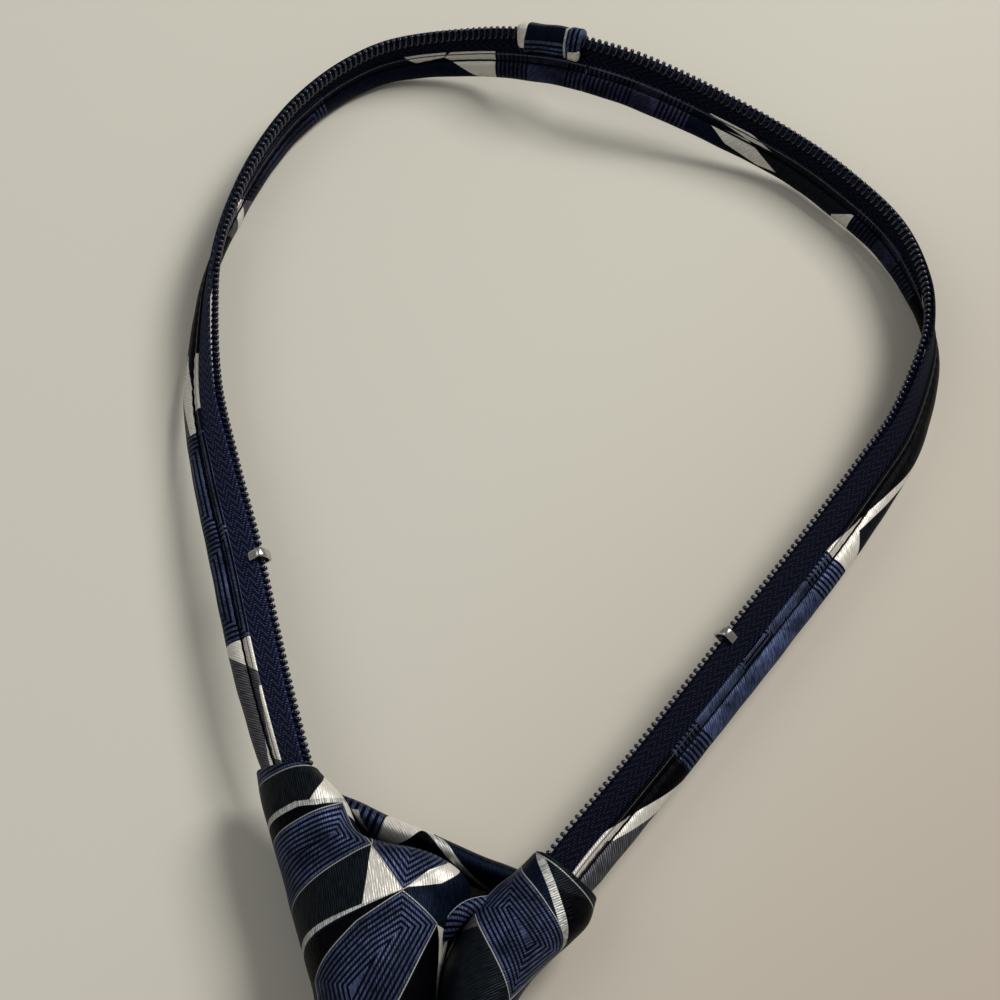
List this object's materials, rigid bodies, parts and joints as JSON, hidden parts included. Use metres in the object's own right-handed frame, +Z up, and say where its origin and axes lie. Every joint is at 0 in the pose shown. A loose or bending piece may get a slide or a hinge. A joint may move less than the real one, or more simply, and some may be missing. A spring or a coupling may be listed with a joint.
{
  "type": "zipper necktie",
  "caption": "Pre-tied necktie with a padded cloth neck loop edged by zip tape and coil, a folded knot, a broad pointed front blade and a narrow tail.",
  "frame": {"origin": "on the table, under the middle of the knot", "axes": "+Z up from the table, +Y from the knot to the back of the neck loop, +X to the right as the knot is looked at"},
  "size_m": [0.1696, 0.727, 0.0236],
  "materials": {
    "cloth": "woven satin with lozenges of fine lines",
    "tape": "herringbone woven tape",
    "coil": "dyed nylon coil",
    "metal": "plain nickel-coloured strip"
  },
  "bodies": {
    "root": {"strap_cover_left": "cloth", "strap_cover_right": "cloth", "tape_left": "tape", "tape_right": "tape", "coil_left": "coil", "coil_right": "coil", "stop_left": "metal", "stop_right": "metal", "keeper_tab": "cloth", "knot_front": "cloth", "knot_right_wing": "cloth", "knot_back_band": "cloth", "front_blade": "cloth", "tail_blade": "cloth"}
  },
  "joints": []
}
